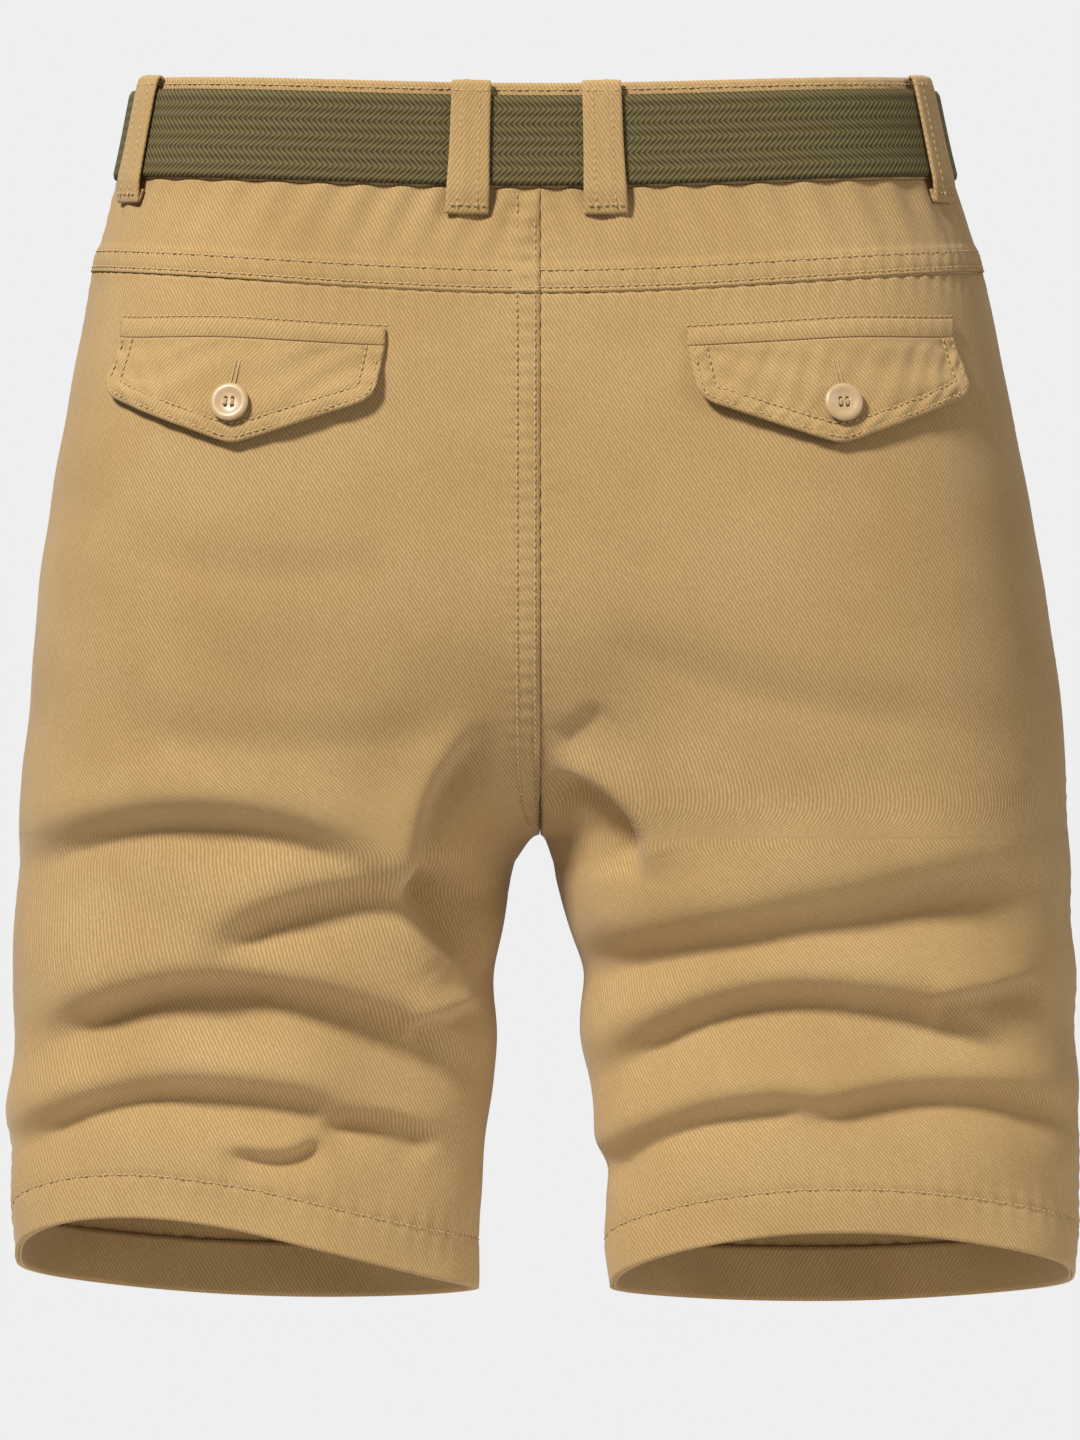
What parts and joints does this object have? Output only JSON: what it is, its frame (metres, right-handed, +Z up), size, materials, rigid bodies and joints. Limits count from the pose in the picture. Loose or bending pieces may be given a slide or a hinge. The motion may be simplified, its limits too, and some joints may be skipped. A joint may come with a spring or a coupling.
{
  "type": "chino shorts",
  "caption": "Men's knee-length chino shorts in twill, filled out and hollow, open at waist and hems, with flapped back pockets, belt loops and a webbing belt with plate buckle.",
  "frame": {"origin": "middle of the waist opening, level with the belt's centre line at the side seams, where a wearer's waist holds the shorts up", "axes": "+X towards the wearer's right, +Y towards the wearer's front, +Z up"},
  "size_m": [0.472, 0.2274, 0.5425],
  "materials": {
    "twill": "sand cotton twill, garment washed, matt",
    "webbing": "olive woven cotton webbing, ribbed, matt",
    "button": "horn-coloured polyester button, polished",
    "buckle": "antique nickel, brushed",
    "zip": "brass zip teeth on a twill tape, dulled"
  },
  "bodies": {
    "root": {"back_left": "twill", "front_left": "twill", "yoke_left": "twill", "side_pocket_facing_left": "twill", "hem_left": "twill", "back_pocket_welt_left": "twill", "back_pocket_flap_left": "twill", "back_pocket_button_left": "button", "belt_loop_back_left": "twill", "belt_loop_side_left": "twill", "belt_loop_front_left": "twill", "back_right": "twill", "front_right": "twill", "yoke_right": "twill", "side_pocket_facing_right": "twill", "hem_right": "twill", "back_pocket_welt_right": "twill", "back_pocket_flap_right": "twill", "back_pocket_button_right": "button", "belt_loop_back_right": "twill", "belt_loop_side_right": "twill", "belt_loop_front_right": "twill", "waistband": "twill", "fly_shield": "twill", "fly_zip": "zip", "waist_button": "button", "belt": "webbing", "belt_tip": "buckle", "belt_buckle": "buckle"}
  },
  "joints": []
}
